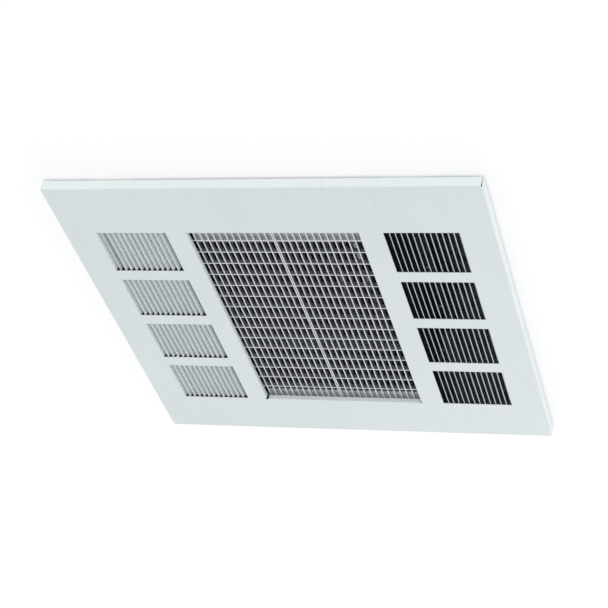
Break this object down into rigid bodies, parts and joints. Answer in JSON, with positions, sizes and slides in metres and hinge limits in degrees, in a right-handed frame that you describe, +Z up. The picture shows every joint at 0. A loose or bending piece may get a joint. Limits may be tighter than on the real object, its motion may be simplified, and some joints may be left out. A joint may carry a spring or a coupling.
{
  "type": "ceiling heater",
  "caption": "Recessed electric ceiling heater: square louvred panel that swings down, bar grille, finned elements and a down-blowing fan in a steel back box",
  "frame": {"origin": "centre of the ceiling screw pattern: the middle of the panel, in the ceiling plane", "axes": "+Z up into the ceiling, the panel faces -Z; -Y is the hinge edge and +Y the latch edge; +X is to the right in the picture"},
  "size_m": [0.603, 0.6055, 0.2336],
  "materials": {
    "white_paint": "satin baked enamel, faint grain",
    "grille_steel": "satin",
    "galvanised_steel": "galvanised, faint spangle",
    "zinc_hardware": "zinc plated",
    "bright_steel": "turned",
    "fan_aluminium": "mill",
    "motor_enamel": "satin black",
    "element_steel": "heat darkened",
    "brass": "plain",
    "porcelain": "glazed ceramic",
    "black_rubber": "matte",
    "switch_plastic": "moulded",
    "red_plastic": "moulded"
  },
  "bodies": {
    "housing": {"box_top_plate": "galvanised_steel", "box_side_walls": "galvanised_steel", "box_end_walls": "galvanised_steel", "box_rivets": "zinc_hardware", "mounting_frame": "galvanised_steel", "frame_screws": "zinc_hardware", "hanger_brackets": "galvanised_steel", "hanger_screws": "zinc_hardware", "frame_hinge_leaves": "zinc_hardware", "hinge_pins": "bright_steel", "latch_tabs": "galvanised_steel", "latch_screws": "zinc_hardware", "air_duct": "galvanised_steel", "duct_screws": "zinc_hardware", "fan_deck": "galvanised_steel", "deck_screws": "zinc_hardware", "motor_bracket": "galvanised_steel", "bracket_screws": "zinc_hardware", "motor_grommets": "black_rubber", "motor_shell": "motor_enamel", "motor_end_bells": "motor_enamel", "motor_bearings": "bright_steel", "motor_studs": "zinc_hardware", "heating_element_left": "element_steel", "heating_element_middle": "element_steel", "heating_element_right": "element_steel", "element_support": "galvanised_steel", "element_fittings": "brass", "terminal_insulators": "porcelain", "terminal_studs": "zinc_hardware", "terminal_links": "brass", "wiring_cover": "galvanised_steel", "cover_screws": "zinc_hardware", "disconnect_switch": "switch_plastic", "limit_control": "switch_plastic", "fan_delay_switch": "switch_plastic", "power_contactor": "switch_plastic", "terminal_block": "porcelain", "ground_lug": "brass", "motor_lead": "black_rubber", "lead_grommet": "black_rubber"},
    "fan_rotor": {"motor_shaft": "bright_steel", "fan_hub": "bright_steel", "fan_spider": "bright_steel", "fan_blades": "fan_aluminium", "fan_rivets": "zinc_hardware"},
    "panel": {"front_panel": "white_paint", "grille_bars": "grille_steel", "grille_cross_bars": "grille_steel", "grille_end_channels": "grille_steel", "weld_studs": "zinc_hardware", "stud_nuts": "zinc_hardware", "panel_hinge_leaves": "zinc_hardware"},
    "rocker": {"disconnect_rocker": "switch_plastic"},
    "button": {"reset_button": "red_plastic"}
  },
  "joints": [
    {"name": "fan_spin", "type": "hinge", "parent": "housing", "child": "fan_rotor", "pos_m": [0, 0.0055, 0.104], "axis": [0, 0, 1], "continuous": true},
    {"name": "panel_swing", "type": "hinge", "parent": "housing", "child": "panel", "pos_m": [0, -0.2983, -0.0036], "axis": [-1, 0, 0], "range_deg": [0, 90]},
    {"name": "rocker_tilt", "type": "hinge", "parent": "housing", "child": "rocker", "pos_m": [0.215, -0.24563, 0.00184], "axis": [-1, 0, 0], "range_deg": [0, 22]},
    {"name": "button_press", "type": "slide", "parent": "housing", "child": "button", "axis": [0, 0, 1], "range_m": [0, 0.0015], "stiffness_N_per_m": 600, "springref_m": -0.001}
  ]
}
